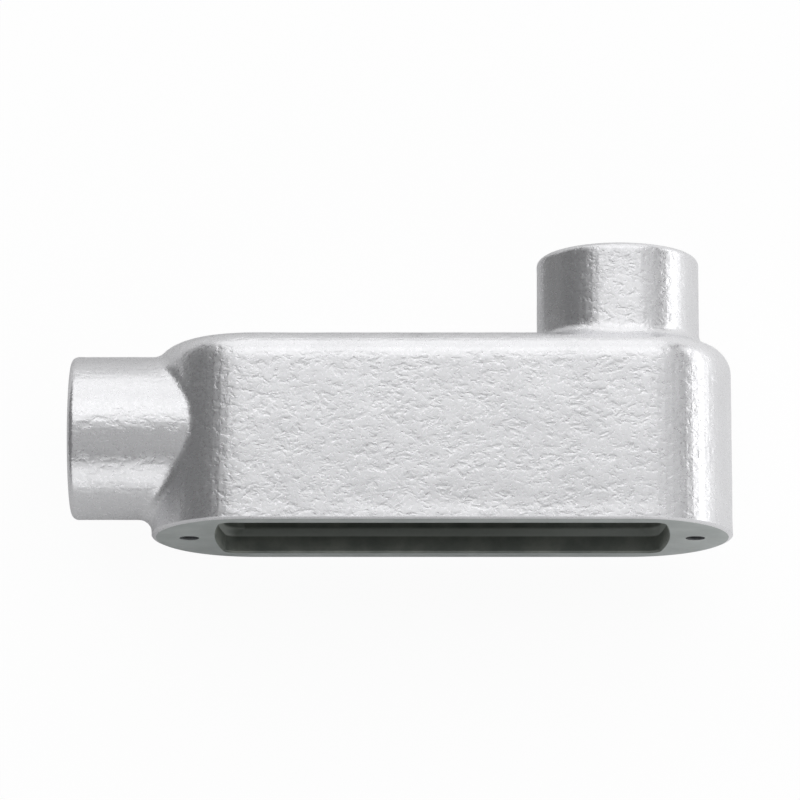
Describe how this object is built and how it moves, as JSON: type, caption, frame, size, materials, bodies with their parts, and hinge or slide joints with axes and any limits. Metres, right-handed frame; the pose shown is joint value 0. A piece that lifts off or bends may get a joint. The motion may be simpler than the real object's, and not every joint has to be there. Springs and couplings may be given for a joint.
{
  "type": "conduit body",
  "caption": "Right-angle cast conduit body with an end hub, a back hub and an open oblong cover face for pulling wires.",
  "frame": {"origin": "centre of the cover opening, on the ground cover face, midway between the cover screw holes", "axes": "+X along the body towards the back-hub end, +Y from the cover face out through the back hub, +Z square to the mid-plane of both hubs; the body lies on its flat -Z side wall"},
  "size_m": [0.1142, 0.0493, 0.035],
  "materials": {
    "painted_casting": "aluminium-coloured paint over sand-cast grain, ground cover face"
  },
  "bodies": {
    "root": {"conduit_body": "painted_casting"}
  },
  "joints": []
}
